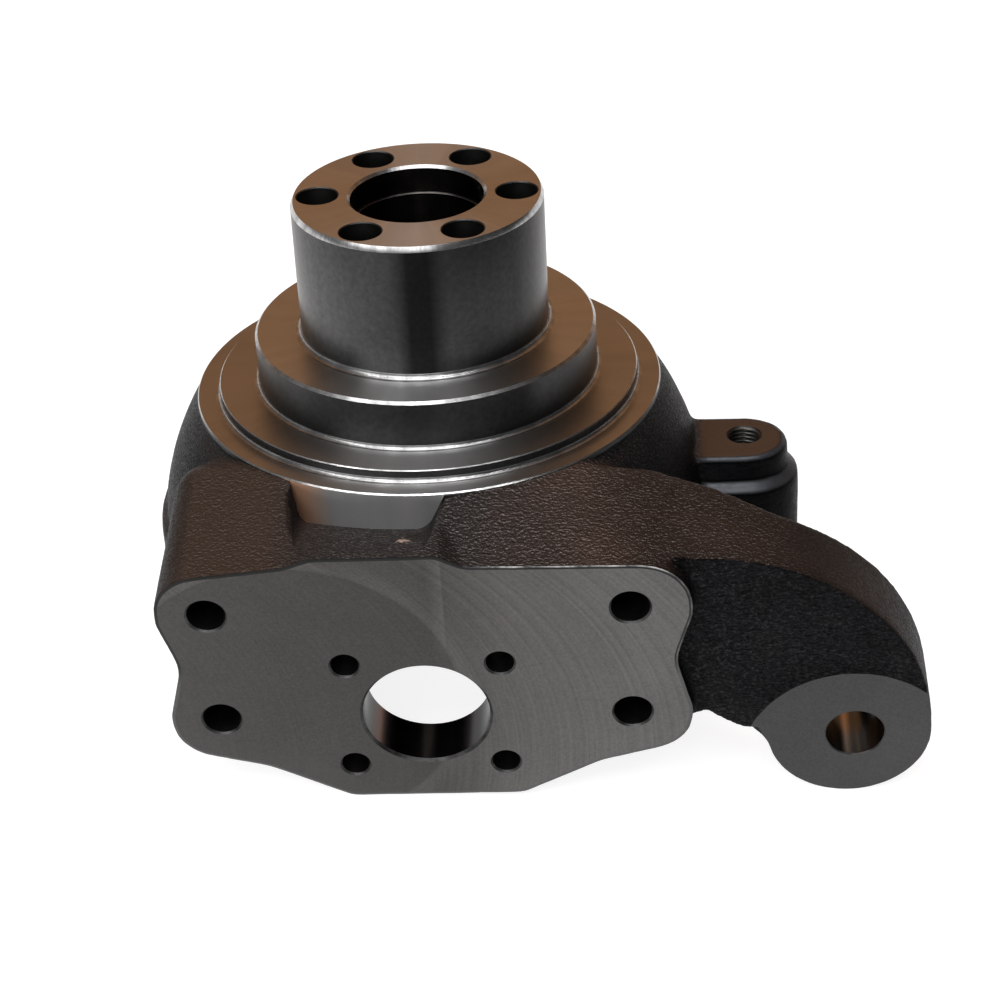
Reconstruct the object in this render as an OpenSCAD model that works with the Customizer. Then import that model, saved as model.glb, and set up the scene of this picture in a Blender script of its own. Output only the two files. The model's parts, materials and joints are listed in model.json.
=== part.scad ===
// Swivel housing of a driven steering axle: one iron casting with a turned hollow spindle,
// a bell over the drive joint, two kingpin ears, a steering arm and a threaded side lug.
// The origin is where the kingpin axis (along Y) crosses the spindle axis.
// The spindle points up and leans towards +Y. The bracket face looks along -Y. Units are mm.

/* [Spindle] */
// Lean of the spindle axis from the normal of the kingpin axis, in degrees
spindle_lean = 8.235; // [0:0.1:12]
// Diameter of the bearing seat
spindle_d = 110; // [104:0.5:125]
// Length of the bearing seat above the seal shoulder
spindle_len = 61.8; // [45:0.1:90]
// Diameter of the bore through the spindle
spindle_bore_d = 56.6; // [40:0.2:58]
// Diameter of the wider first stretch of the bore
spindle_mouth_d = 58.2; // [58:0.1:60]
// Depth of the wider first stretch of the bore
spindle_mouth_len = 13; // [6:1:20]
// Chamfer on the turned outer edges and bore mouths
turned_chamfer = 1.2; // [0.5:0.1:2]
// Fillet at the root of the bearing seat
spindle_fillet = 3; // [1:0.5:5]

/* [End holes] */
// Number of holes in the end of the spindle
end_hole_count = 6; // [3:1:6]
// Pitch circle of the end holes
end_hole_pcd = 86.6; // [86:0.1:88]
// Diameter of each end hole
end_hole_d = 18.2; // [12:0.1:19]
// Depth of each end hole
end_hole_depth = 40; // [20:1:50]

/* [Flange] */
// Height of the outer ring face over the kingpin axis, along the spindle
ring_height = 78.3; // [74:0.1:84]
// Diameter of the outer ring
ring_d = 207.5; // [200:0.5:214]
// Diameter of the raised inner disc
disc_d = 187; // [170:1:196]
// Height of the inner disc above the ring
disc_step = 5.5; // [3:0.5:8]
// Diameter of the seal shoulder
shoulder_d = 151.5; // [140:0.5:165]
// Height of the seal shoulder above the disc
shoulder_h = 22.6; // [14:0.2:30]
// Fillets at the foot of the shoulder and of the disc
flange_fillet = 2.5; // [1:0.5:4]

/* [Bell] */
// Radius of the bell at its widest, above the rim band
bell_r = 123; // [119:0.1:124]
// Radius of the arc that the bell's side follows
bell_arc_r = 125; // [90:1:180]
// Depth of the widest point below the ring face
bell_wide_depth = 50; // [44:1:55]
// How far the rim band stands out from the bell
rim_proud = 3.5; // [2:0.1:8]
// Depth of the rim band's upper edge below the ring face
rim_top_depth = 57; // [56:1:62]
// Depth of the bell's lower edge below the ring face
bell_depth = 90; // [84:1:96]
// Radius of the hollow for the drive joint
cavity_r = 92; // [86:0.5:95]

/* [Kingpin ears] */
// Distance between the outer faces of the two ears
ear_span = 254; // [250:1:264]
// Distance between the spot-faced inner faces of the ears
ear_gap = 208.4; // [200:0.2:214]
// Diameter of the kingpin bores
kingpin_d = 54.5; // [40:0.5:58]
// Radius of the spot face inside each ear
spotface_r = 52; // [48:0.5:54]
// Distance of the ears' flat feet below the kingpin axis
foot_drop = 48.3; // [46:0.1:52]
// Spacing of the kingpin cap holes along X
cap_hole_dx = 65.6; // [62:0.1:68]
// Spacing of the kingpin cap holes along Z
cap_hole_dz = 57.8; // [54:0.1:60]
// Core diameter of the threaded kingpin cap holes
cap_hole_d = 12.1; // [8:0.1:13]
// Radius of the far ear at its outer face
far_ear_r = 57; // [54:0.5:60]
// Chamfer of the threaded holes and kingpin bores
hole_chamfer = 0.8; // [0.5:0.1:1.5]

/* [Bracket face] */
// Sideways shift of the cast outline from the kingpin axis
pad_shift = 2; // [0:0.5:3]
// Half width of the bracket face at its lobes
pad_half_w = 111.8; // [109:0.1:116]
// Half width of the bracket face at its waist
pad_waist = 104.6; // [101:0.1:109]
// Height of the side blocks' upper edge over the kingpin axis
pad_top = 80.8; // [79:0.1:83]
// How much lower the outline lies at the upper left corner
pad_left_drop = 3.3; // [1:0.1:5]
// Height of the raised middle of the upper edge
pad_crown = 88.5; // [86:0.5:91]
// Thickness of the plate behind the bracket face
pad_thick = 38; // [36:1:42]
// Spacing of the bracket holes along X
bracket_dx = 176.3; // [168:0.1:180]
// Spacing of the bracket holes along Z
bracket_dz = 59; // [54:0.1:62]
// Height of the middle of the bracket holes over the kingpin axis
bracket_z = 29; // [26:0.5:32]
// Core diameter of the threaded bracket holes
bracket_hole_d = 16.4; // [12:0.1:18]
// Depth of the bracket holes
bracket_hole_depth = 30; // [22:1:31]

/* [Front recess] */
// Left edge of the recess floor between the two blocks
recess_x0 = -51; // [-54:0.5:-46]
// Right edge of the recess floor
recess_x1 = 4; // [0:0.5:8]
// Downward slope of the recess floor towards the spindle, in degrees
recess_slope = 20.8; // [16:0.2:24]

/* [Steering arm] */
// Set-back of the arm's front wall behind the bracket face
arm_setback = 8; // [4:0.5:12]
// Thickness of the arm at the eye
arm_thick = 34; // [28:1:40]
// Radius of the arm's outer curve
arm_curve_r = 99.5; // [96:0.5:104]
// Centre of the arm's outer curve along X
arm_curve_x = 117; // [115:0.5:119]
// Centre of the arm's outer curve along Z
arm_curve_z = -22; // [-24:0.5:-20]
// Height of the arm's underside beside the bracket face
arm_under_z = -8.8; // [-12:0.2:-6]
// Radius of the long hollow between the underside and the eye
arm_throat_r = 52; // [40:1:120]
// Length of the arm's underside that the hollow takes up, along X
arm_throat_len = 17.7; // [15:0.1:19]
// Drop of the arm's underside over the hollow
arm_throat_drop = 11.4; // [8:0.2:12]
// Distance of the steering eye's hole from the kingpin axis along X
eye_x = 183.9; // [180:0.1:188]
// Height of the steering eye's hole
eye_z = -25.5; // [-28:0.1:-22]
// Radius of the cast eye
eye_r = 35.3; // [32:0.1:38]
// Diameter of the tapered hole at the milled face
eye_hole_d = 25.2; // [20:0.1:30]
// Taper of the hole: diameter lost over each unit of depth
eye_taper = 0.1; // [0.05:0.01:0.125]
// Depth to which the eye's face is milled into the wall
eye_face_cut = 2; // [1:0.5:4]
// Radius of the cutter's sweep that milled the eye's face
eye_face_r = 45.6; // [42:0.2:48]

/* [Side lug] */
// Distance of the lug's hole from the spindle axis
lug_x = 141.3; // [138:0.1:146]
// Offset of the cast lug from its hole, towards the bracket face
lug_shift = 1.4; // [0:0.1:2]
// Depth of the lug's upper face below the ring face
lug_depth = 34; // [30:0.5:38]
// Height of the lug's narrow upper step
lug_step_h = 14; // [10:0.5:18]
// Height of the lug's wide lower step
lug_base_h = 38; // [30:0.5:42]
// Radius of the upper step round the hole
lug_r = 19.5; // [18:0.1:21]
// Radius of the lower step round the hole
lug_base_r = 24.5; // [22:0.5:27]
// Radius of the round cast edge of both steps
lug_edge = 3; // [1:0.5:5]
// Core diameter of the lug's threaded hole
lug_hole_d = 14; // [10:0.2:16]
// Depth of the lug's threaded hole
lug_hole_depth = 34; // [20:1:40]

/* [Hidden] */

$fn = 96;
hull_fn = 32;           // sides of the round pieces inside a hull
arc_steps = 7;          // straight pieces in each rounded corner of an outline
over = 2;               // how far a cut runs past the face that it opens
big = 400;              // longer than anything on the part
sunk = 1.5;             // how far the blocks' tops lie below the ring face
drill_tip = 59;         // half angle of a drill's point, in degrees
drill_ledge = 0.6;      // width of the ledge that the tap leaves round a drill's point
block_z = 20;           // height at which the blocks grow out of the ear's plate
block_back_y = -72;     // how far back the blocks' rear corners stand
far_boss_len = 22;      // length of the far ear's boss inside its spot face
far_boss_draft = 9;     // how much wider that boss is at its root
eye_cast_dx = -2.4;     // offset of the cast eye from its hole along X
eye_cast_dz = 1;        // offset of the cast eye from its hole along Z
eye_face_dx = -1.9;     // offset of the milled sweep from the hole along X
eye_face_dz = -8.4;     // offset of the milled sweep from the hole along Z

ring_r = ring_d / 2;
disc_r = disc_d / 2;
shoulder_r = shoulder_d / 2;
spindle_r = spindle_d / 2;
disc_height = ring_height + disc_step;
shoulder_height = disc_height + shoulder_h;
spindle_top = shoulder_height + spindle_len;
bell_wide_height = ring_height - bell_wide_depth;
rim_r = bell_r + rim_proud;
rim_height = ring_height - rim_top_depth;
bell_bottom = ring_height - bell_depth;
face_y = ear_span / 2;
spot_y = ear_gap / 2;
arm_front_y = -face_y + arm_setback;
arm_back_y = arm_front_y + arm_thick;
eye_face_y = arm_front_y + eye_face_cut;
lug_top = ring_height - lug_depth;

// A corner [x, y, r] between two neighbours becomes an arc that touches both sides.
function unit(v) = v / norm(v);
function corner(a, p, b, r) =
    let (u = unit(a - p), v = unit(b - p), half = acos(u * v) / 2,
         middle = p + unit(u + v) * r / sin(half),
         first = p + u * r / tan(half) - middle,
         last = p + v * r / tan(half) - middle,
         from = atan2(first[1], first[0]),
         sweep = (atan2(last[1], last[0]) - from + 540) % 360 - 180)
    [for (i = [0 : arc_steps]) middle + r * [cos(from + sweep * i / arc_steps), sin(from + sweep * i / arc_steps)]];
function flat(p) = [p[0], p[1]];
function rounded(pts) =
    [for (i = [0 : len(pts) - 1])
        let (a = pts[(i + len(pts) - 1) % len(pts)], p = pts[i], b = pts[(i + 1) % len(pts)])
        each (p[2] == 0 ? [flat(p)] : corner(flat(a), flat(p), flat(b), p[2]))];

// The points of an arc of radius r from a to b that bulges to the left of the way from a to b.
function bulge(a, b, r, steps) =
    let (way = unit(b - a), half = norm(b - a) / 2,
         middle = (a + b) / 2 + [way[1], -way[0]] * sqrt(r * r - half * half),
         from = atan2(a[1] - middle[1], a[0] - middle[0]), sweep = -2 * asin(half / r))
    [for (i = [0 : steps]) middle + r * [cos(from + sweep * i / steps), sin(from + sweep * i / steps)]];

// Turns a shape drawn along Z so that it runs along the spindle axis.
module on_spindle_axis() { rotate([-spindle_lean, 0, 0]) children(); }

// Turns an outline drawn in X and Z so that it is extruded along +Y from y0.
module plate_y(y0, thick) {
    translate([0, y0 + thick, 0]) rotate([90, 0, 0]) linear_extrude(thick) children();
}

// A drilled hole along +Z from the origin down: chamfered mouth, wall, narrow ledge and drill point.
module drilled(d, depth, chamfer = hole_chamfer) {
    point_r = d / 2 - drill_ledge;
    rotate_extrude()
        polygon([[0, -depth - point_r / tan(drill_tip)], [point_r, -depth], [d / 2, -depth], [d / 2, -chamfer],
            [d / 2 + chamfer + over, over], [0, over]]);
}

// The turned outside of spindle, shoulder, disc and ring, with the bell below as one revolve.
module turned_body() {
    c = turned_chamfer;
    f = flange_fillet;
    neck = [ring_r + 0.4, ring_height - 3];
    rotate_extrude()
        polygon(concat(
            rounded([[0, spindle_top, 0],
                [spindle_r - c, spindle_top, 0],
                [spindle_r, spindle_top - c * 2, 0],
                [spindle_r, shoulder_height, spindle_fillet],
                [shoulder_r - c, shoulder_height, 0],
                [shoulder_r, shoulder_height - c, 0],
                [shoulder_r, disc_height, f],
                [disc_r - c / 2, disc_height, 0],
                [disc_r, disc_height - c / 2, 0],
                [disc_r, ring_height, f],
                [ring_r - c / 2, ring_height, 0],
                [ring_r, ring_height - c / 2, 0],
                [ring_r, neck[1], 0]]),
            bulge(neck, [bell_r, bell_wide_height], bell_arc_r, 10),
            rounded([[bell_r, rim_height, rim_proud * 0.4],
                [rim_r, rim_height, rim_proud * 0.8],
                [rim_r, bell_bottom, 4],
                [0, bell_bottom, 0]])));
}

// The outline of the bracket face, in X and Z about the kingpin axis.
module pad_outline() {
    side = [[pad_half_w, pad_top - 27, 9], [pad_waist, bracket_z, 26], [pad_half_w, bracket_z - 28, 9],
            [pad_half_w - 0.8, -18.5, 20], [72, -29.5, 30], [37.5, -foot_drop, 10]];
    upper = [[-pad_half_w, pad_top - pad_left_drop, 20], [-56, pad_top + 3, 12], [-44, pad_crown, 8],
             [7, pad_crown, 8], [18, pad_top + 1.6, 10], [pad_half_w, pad_top, 22]];
    left = [for (i = [len(side) - 1 : -1 : 0]) [-side[i][0], side[i][1], side[i][2]]];
    translate([pad_shift, 0]) polygon(rounded(concat(upper, side, left)));
}

module near_ear() { plate_y(-face_y, pad_thick) pad_outline(); }

// The far ear: a coned boss with the same flat foot as the near one.
module far_ear() {
    intersection() {
        translate([0, spot_y - far_boss_len, 0]) rotate([-90, 0, 0])
            cylinder(r1 = far_ear_r + far_boss_draft, r2 = far_ear_r, h = face_y - spot_y + far_boss_len);
        translate([-big / 2, 0, -foot_drop]) cube([big, big, big]);
    }
}

// A piece of the ring's edge between two places along X, which the blocks run up to.
module ring_sector(x0, x1, drop, depth) {
    intersection() {
        on_spindle_axis() translate([0, 0, ring_height - drop - depth]) cylinder(r = ring_r - 0.6, h = depth, $fn = hull_fn * 2);
        translate([x0, -face_y - over, 0]) cube([x1 - x0, face_y * 0.5, pad_crown * 2]);
    }
}

// The block over the left bracket hole. Its outer shoulder is round and ends in a ball.
module left_block() {
    front_r = 19.5;
    ball_r = 16;
    outer_x = pad_shift - pad_half_w;
    hull() {
        plate_y(-face_y + 1, 1) {
            translate([outer_x + front_r + 0.5, pad_top - front_r - 1.8]) circle(r = front_r, $fn = hull_fn);
            translate([pad_shift - pad_waist + 2.5, block_z]) square([pad_waist - 58, 20]);
            translate([-70, pad_top - 10]) square([15, 11]);
        }
        translate([outer_x + ball_r + 1.8, block_back_y + 11, pad_top - 13.8]) sphere(r = ball_r, $fn = hull_fn);
        translate([outer_x + ball_r + 9, block_back_y, block_z]) cylinder(r = ball_r, h = 30, $fn = hull_fn);
        ring_sector(-62, -54, sunk, 30);
    }
}

// The block over the right bracket hole. It runs on into the steering arm.
module right_block() {
    post_r = 9;
    hull() {
        translate([recess_x1 + 8, -face_y + 1, block_z]) cube([pad_half_w - 34, 1, pad_top - block_z - 0.4]);
        ring_sector(recess_x1 + 8, 64, sunk, 30);
        translate([pad_half_w - 13.8, block_back_y, block_z])
            cylinder(r = post_r, h = pad_top - block_z - 0.8, $fn = hull_fn);
    }
}

// The cut that opens the recess in front of the ring: a trough that falls towards the spindle.
module recess() {
    difference() {
        translate([0, -face_y, pad_crown]) rotate([-recess_slope, 0, 0]) translate([0, -40, 0])
            plate_y(0, 110)
                polygon(rounded([[recess_x0, 0, 5], [recess_x1, 0, 9], [recess_x1 + 11, 22, 0],
                    [recess_x1 + 11, 60, 0], [recess_x0 - 4, 60, 0], [recess_x0 - 4, 22, 0]]));
        on_spindle_axis() cylinder(r = ring_r, h = big);
    }
}

// The arm seen from the front, in X and Z.
module arm_outline() {
    eye_cast_x = eye_x + eye_cast_dx;
    eye_cast_z = eye_z + eye_cast_dz;
    root_x = arm_curve_x - 67;
    peak = [arm_curve_x + 3.2, arm_under_z];
    throat_end = [peak[0] + arm_throat_len, peak[1] - arm_throat_drop];
    intersection() {
        union() {
            translate([arm_curve_x, arm_curve_z]) circle(r = arm_curve_r, $fn = 180);
            polygon([[root_x + 10, arm_curve_z], [root_x + 10, pad_top - 0.4], [arm_curve_x - 29, pad_top - 0.4],
                [arm_curve_x + 3, arm_curve_z + arm_curve_r - 0.1], [arm_curve_x + 3, arm_curve_z]]);
        }
        polygon(concat([[root_x, big / 4], [big, big / 4], [big, eye_cast_z], [eye_cast_x - eye_r + 0.5, eye_cast_z - 6]],
            bulge(throat_end, peak, arm_throat_r, 8),
            [[arm_curve_x - 7, arm_under_z - 3.6], [root_x, arm_under_z - 3.6]]));
    }
    translate([eye_cast_x, eye_cast_z]) circle(r = eye_r);
}

// The arm seen from above, in X and Y: a flat front wall and a back that flares into the bell.
module arm_plan() {
    polygon(rounded([[60, arm_front_y, 0], [230, arm_front_y, 0], [230, arm_back_y, 0],
        [eye_x - 34, arm_back_y, 50], [arm_curve_x - 5, arm_back_y + 19, 30], [60, arm_back_y + 25, 0]]));
}

module steering_arm() {
    intersection() {
        plate_y(-face_y, face_y) arm_outline();
        translate([0, 0, -foot_drop * 2]) linear_extrude(foot_drop * 4) arm_plan();
    }
}

// Half of the section of a step of the lug, from its top down, with a round edge.
module lug_section(r, h) { polygon(rounded([[0, 0, 0], [r, 0, lug_edge], [r, -h, 0], [0, -h, 0]])); }

// A step of the lug: a tongue from inside the bell to a round end about the hole.
module lug_step(r, h) {
    root_x = bell_r - 20;
    translate([lug_x, 0]) rotate_extrude() lug_section(r, h);
    translate([root_x, 0]) rotate([90, 0, 90]) linear_extrude(lug_x - root_x) {
        lug_section(r, h);
        mirror([1, 0]) lug_section(r, h);
    }
}

// The lug on the bell's side: a narrow step with the hole, on a wider one.
module side_lug() {
    on_spindle_axis() {
        translate([0, -lug_shift, lug_top]) lug_step(lug_r, lug_step_h + over);
        translate([0, -lug_shift, lug_top - lug_step_h]) lug_step(lug_base_r, lug_base_h);
    }
}

// Everything that the core and the spot facers leave open inside the ears.
module cavity() {
    sphere(r = cavity_r, $fn = 128);
    translate([0, -spot_y, 0]) rotate([-90, 0, 0]) cylinder(r = spotface_r, h = ear_gap);
    translate([0, 0, -bell_depth]) cylinder(r = cavity_r, h = bell_depth, $fn = 128);
    translate([-spotface_r, -spot_y, -bell_depth]) cube([spotface_r * 2, ear_gap, bell_depth]);
}

// The bore of the spindle and the holes in its end.
module spindle_holes() {
    mouth_r = spindle_mouth_d / 2;
    on_spindle_axis() {
        rotate_extrude()
            polygon([[0, 0], [spindle_bore_d / 2, 0], [spindle_bore_d / 2, spindle_top - spindle_mouth_len],
                [mouth_r, spindle_top - spindle_mouth_len], [mouth_r, spindle_top - turned_chamfer],
                [mouth_r + turned_chamfer + over, spindle_top + over], [0, spindle_top + over]]);
        for (i = [0 : end_hole_count - 1])
            rotate([0, 0, i * 360 / end_hole_count]) translate([end_hole_pcd / 2, 0, spindle_top])
                drilled(end_hole_d, end_hole_depth, 0.4);
    }
}

// The kingpin bore and the four cap holes of one ear, drawn from its outer face down along Z.
module ear_holes() {
    kingpin_r = kingpin_d / 2;
    rotate_extrude()
        polygon([[0, -face_y / 2], [kingpin_r, -face_y / 2], [kingpin_r, -hole_chamfer],
            [kingpin_r + hole_chamfer + over, over], [0, over]]);
    for (x = [-1, 1], y = [-1, 1])
        translate([x * cap_hole_dx / 2, y * cap_hole_dz / 2, 0])
            drilled(cap_hole_d, face_y - spot_y + over);
}

module kingpin_holes() {
    translate([0, -face_y, 0]) rotate([90, 0, 0]) ear_holes();
    translate([0, face_y, 0]) rotate([-90, 0, 0]) ear_holes();
}

module bracket_holes() {
    for (x = [-1, 1], z = [-1, 1])
        translate([x * bracket_dx / 2, -face_y, bracket_z + z * bracket_dz / 2]) rotate([90, 0, 0])
            drilled(bracket_hole_d, bracket_hole_depth);
}

// The milled face of the steering eye and its tapered hole.
module eye_cuts() {
    translate([eye_x + eye_face_dx, eye_face_y, eye_z + eye_face_dz]) rotate([90, 0, 0])
        cylinder(r = eye_face_r, h = face_y);
    translate([eye_x, eye_face_y - over, eye_z]) rotate([-90, 0, 0])
        cylinder(d1 = eye_hole_d + over * eye_taper, d2 = eye_hole_d - (arm_thick + over) * eye_taper, h = arm_thick + over * 2);
}

module lug_hole() {
    on_spindle_axis() translate([lug_x, 0, lug_top]) drilled(lug_hole_d, lug_hole_depth);
}

module swivel_housing() {
    color("dimgray") difference() {
        union() {
            on_spindle_axis() turned_body();
            near_ear();
            far_ear();
            left_block();
            right_block();
            steering_arm();
            side_lug();
        }
        recess();
        cavity();
        translate([-big / 2, -face_y - big, -big / 2]) cube([big, big, big]);
        translate([0, face_y, 0]) rotate([-90, 0, 0]) cylinder(r = far_ear_r + over, h = face_y);
        spindle_holes();
        kingpin_holes();
        bracket_holes();
        eye_cuts();
        lug_hole();
    }
}

swivel_housing();
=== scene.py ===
# Swivel housing: the cast skin and the machined faces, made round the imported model
import json
import math

import bpy
import numpy as np
from mathutils import Matrix, Vector


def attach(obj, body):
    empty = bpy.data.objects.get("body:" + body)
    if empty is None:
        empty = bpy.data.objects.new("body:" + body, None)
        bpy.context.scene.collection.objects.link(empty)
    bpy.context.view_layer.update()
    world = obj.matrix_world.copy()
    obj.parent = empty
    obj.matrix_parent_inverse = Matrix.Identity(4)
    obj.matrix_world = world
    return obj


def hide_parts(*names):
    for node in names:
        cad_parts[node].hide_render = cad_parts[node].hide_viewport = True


mm = 0.001
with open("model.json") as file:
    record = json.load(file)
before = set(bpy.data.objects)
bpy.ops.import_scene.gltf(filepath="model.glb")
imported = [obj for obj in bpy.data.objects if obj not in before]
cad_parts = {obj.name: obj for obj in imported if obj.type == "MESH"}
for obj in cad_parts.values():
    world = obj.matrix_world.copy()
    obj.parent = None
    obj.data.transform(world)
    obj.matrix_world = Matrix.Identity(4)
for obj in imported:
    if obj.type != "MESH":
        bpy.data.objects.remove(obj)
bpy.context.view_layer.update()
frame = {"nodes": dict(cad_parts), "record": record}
mounts = {m["name"]: m for m in frame["record"]["mounts"]}
print("frame loaded")


# dimension of a mount in millimetres
def size(mount, key):
    return mounts[mount]["dims"][key]


# The spindle leans over the kingpin axis, so turned parts are drawn upright and then tipped.
spindleAxis = Vector(mounts["spindle_seat"]["axis"]).normalized()
spindleLean = math.atan2(spindleAxis.y, spindleAxis.z)
onSpindle = Matrix.Rotation(-spindleLean, 4, "X")
toFront = Vector((0, -1, 0))
toBack = Vector((0, 1, 0))


# height of a mount along the spindle, in millimetres
def heightOf(mount):
    return Vector(mounts[mount]["pos_m"]).dot(spindleAxis) / mm


# Modelling

# makes obj the only selected and active object
def pick(obj):
    if bpy.context.object and bpy.context.object.mode != "OBJECT":
        bpy.ops.object.mode_set(mode="OBJECT")
    bpy.ops.object.select_all(action="DESELECT")
    obj.select_set(True)
    bpy.context.view_layer.objects.active = obj


# opens the mesh in edit mode with all of it selected, or nothing
def openMesh(obj, action="SELECT"):
    pick(obj)
    bpy.ops.object.mode_set(mode="EDIT")
    bpy.ops.mesh.select_mode(type="FACE" if action == "DESELECT" else "VERT")
    bpy.ops.mesh.select_all(action=action)


# turns all faces of a closed mesh outwards
def faceOutwards(obj):
    openMesh(obj)
    bpy.ops.mesh.normals_make_consistent(inside=False)
    bpy.ops.object.mode_set(mode="OBJECT")


def place(name, mesh):
    obj = bpy.data.objects.new(name, mesh)
    bpy.context.scene.collection.objects.link(obj)
    return obj


# closed solid from points and faces, with one finish, set in place by a matrix
def solid(name, verts, faces, finish, turn):
    mesh = bpy.data.meshes.new(name)
    mesh.from_pydata(verts, [], faces)
    mesh.materials.append(finishes[finish])
    obj = place(name, mesh)
    mesh.transform(turn)
    faceOutwards(obj)
    return obj


def applyAll(obj):
    pick(obj)
    for name in [m.name for m in obj.modifiers]:
        bpy.ops.object.modifier_apply(modifier=name)


# spins an outline of (radius, height) in millimetres about Z; bands name the finish of each stretch
def lathe(name, outline, steps, turn, bands=()):
    closed = [(r * mm, 0.0, z * mm) for r, z in outline]
    mesh = bpy.data.meshes.new(name)
    mesh.from_pydata(closed, [(i, (i + 1) % len(closed)) for i in range(len(closed))], [])
    obj = place(name, mesh)
    openMesh(obj)
    bpy.ops.mesh.spin(steps=steps, angle=math.tau, center=(0, 0, 0), axis=(0, 0, 1))
    bpy.ops.mesh.select_all(action="SELECT")
    bpy.ops.mesh.remove_doubles(threshold=2e-6)
    bpy.ops.mesh.delete_loose()
    faceOutwards(obj)
    if bands:
        paintBands(obj, outline, bands)
    obj.data.transform(turn)
    return obj


# gives each face of a lathed object the finish of the stretch of outline that it came from
def paintBands(obj, outline, bands):
    names = list(dict.fromkeys(bands))
    for name in names:
        obj.data.materials.append(finishes[name])
    starts = np.array(outline, float)
    along = np.roll(starts, -1, axis=0) - starts
    # a flat face's middle lies inside the circle, so its corners give the radius
    spots = []
    for p in obj.data.polygons:
        reaches = [math.hypot(*obj.data.vertices[v].co[:2]) for v in p.vertices]
        spots.append(((max(reaches) + min(reaches)) / 2 / mm, p.center.z / mm))
    spots = np.array(spots)[:, None]
    share = ((spots - starts) * along).sum(2) / np.maximum((along ** 2).sum(1), 1e-9)
    nearest = starts + np.clip(share, 0, 1)[..., None] * along
    which = np.linalg.norm(nearest - spots, axis=2).argmin(1)
    obj.data.polygons.foreach_set("material_index", [names.index(bands[i]) for i in which])


# outline of (radius, height, rounding, finish) with each rounded corner turned into an arc
def rounded(points, arcs=6, support=0.7):
    out, bands = [], []
    for i, (r, z, rounding, band) in enumerate(points):
        if not rounding:
            out.append((r, z))
            bands.append(band)
            continue
        here = Vector((r, z))
        before = (Vector(points[i - 1][:2]) - here).normalized()
        after = (Vector(points[(i + 1) % len(points)][:2]) - here).normalized()
        half = before.angle(after) / 2
        middle = here + (before + after).normalized() * rounding / math.sin(half)
        first = here + before * rounding / math.tan(half) - middle
        last = here + after * rounding / math.tan(half) - middle
        start = math.atan2(first.y, first.x)
        sweep = (math.atan2(last.y, last.x) - start + math.pi) % math.tau - math.pi
        # a point just before and after the arc keeps the shading of the long faces straight
        out.append(tuple(middle + first + before * support))
        bands.append(bands[-1])
        for k in range(arcs + 1):
            at = start + sweep * k / arcs
            out.append((middle.x + rounding * math.cos(at), middle.y + rounding * math.sin(at)))
            bands.append("fillet" if k < arcs else band)
        out.append(tuple(middle + last + after * support))
        bands.append(band)
    return out, bands


def joined(name, parts):
    pick(parts[0])
    for part in parts[1:]:
        part.select_set(True)
    bpy.ops.object.join()
    parts[0].name = name
    return parts[0]


# adds the tool to obj or takes it away, and the new faces keep the tool's finishes
def carve(obj, tool, operation="DIFFERENCE"):
    faces = len(obj.data.polygons)
    cut = obj.modifiers.new("carve", "BOOLEAN")
    cut.object = tool
    cut.operation = operation
    cut.solver = "MANIFOLD"
    cut.material_mode = "TRANSFER"
    applyAll(obj)
    print("carved with", tool.name, faces, "->", len(obj.data.polygons))
    bpy.data.objects.remove(tool)


# box between two corners in millimetres, to be milled away
def millBlock(name, low, high):
    bpy.ops.mesh.primitive_cube_add(size=1)
    obj = bpy.context.object
    obj.name = name
    low, high = Vector(low) * mm, Vector(high) * mm
    obj.data.transform(Matrix.Translation((low + high) / 2) @ Matrix.Diagonal((*(high - low), 1)))
    obj.data.materials.append(finishes["milledFace"])
    return obj


# matrix that sets a shape drawn up Z at a point in metres, with its Z along the axis
def alongAxis(point, axis):
    turn = Vector((0, 0, 1)).rotation_difference(axis)
    return Matrix.Translation(point) @ turn.to_matrix().to_4x4()


# Materials: procedural, on object coordinates

def shaderOf(name):
    mat = bpy.data.materials.new(name)
    mat.use_nodes = True
    return mat, mat.node_tree, mat.node_tree.nodes["Principled BSDF"]


# gives a socket its number, its colour or a link
def feed(tree, socket, value):
    if isinstance(value, bpy.types.NodeSocket):
        tree.links.new(value, socket)
    elif socket.type == "RGBA":
        socket.default_value = (*value, 1)
    else:
        socket.default_value = value


# object coordinates in metres; onAxis turns them so that Z runs along the spindle
def objectPoint(tree, onAxis=False, scale=(1, 1, 1)):
    coords = tree.nodes.new("ShaderNodeTexCoord")
    mapping = tree.nodes.new("ShaderNodeMapping")
    if onAxis:
        mapping.inputs["Rotation"].default_value = (spindleLean, 0, 0)
    mapping.inputs["Scale"].default_value = scale
    tree.links.new(coords.outputs["Object"], mapping.inputs["Vector"])
    return mapping.outputs["Vector"]


def maths(tree, operation, *values):
    node = tree.nodes.new("ShaderNodeMath")
    node.operation = operation
    for socket, value in zip(node.inputs, values):
        feed(tree, socket, value)
    return node.outputs[0]


def times(tree, *values):
    out = values[0]
    for value in values[1:]:
        out = maths(tree, "MULTIPLY", out, value)
    return out


def plus(tree, *values):
    out = values[0]
    for value in values[1:]:
        out = maths(tree, "ADD", out, value)
    return out


def minus(tree, first, second):
    return maths(tree, "SUBTRACT", first, second)


# one kind of vector node; key names the input of its second value
def vectors(tree, operation, first, second, key=1):
    node = tree.nodes.new("ShaderNodeVectorMath")
    node.operation = operation
    feed(tree, node.inputs[0], first)
    feed(tree, node.inputs[key], second)
    return node.outputs


def scaled(tree, colour, level):
    return vectors(tree, "SCALE", colour, level, "Scale")["Vector"]


def distance(tree, point, middle):
    return vectors(tree, "DISTANCE", point, middle)["Value"]


def apart(tree, point):
    node = tree.nodes.new("ShaderNodeSeparateXYZ")
    tree.links.new(point, node.inputs[0])
    return node.outputs["X"], node.outputs["Y"], node.outputs["Z"]


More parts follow.
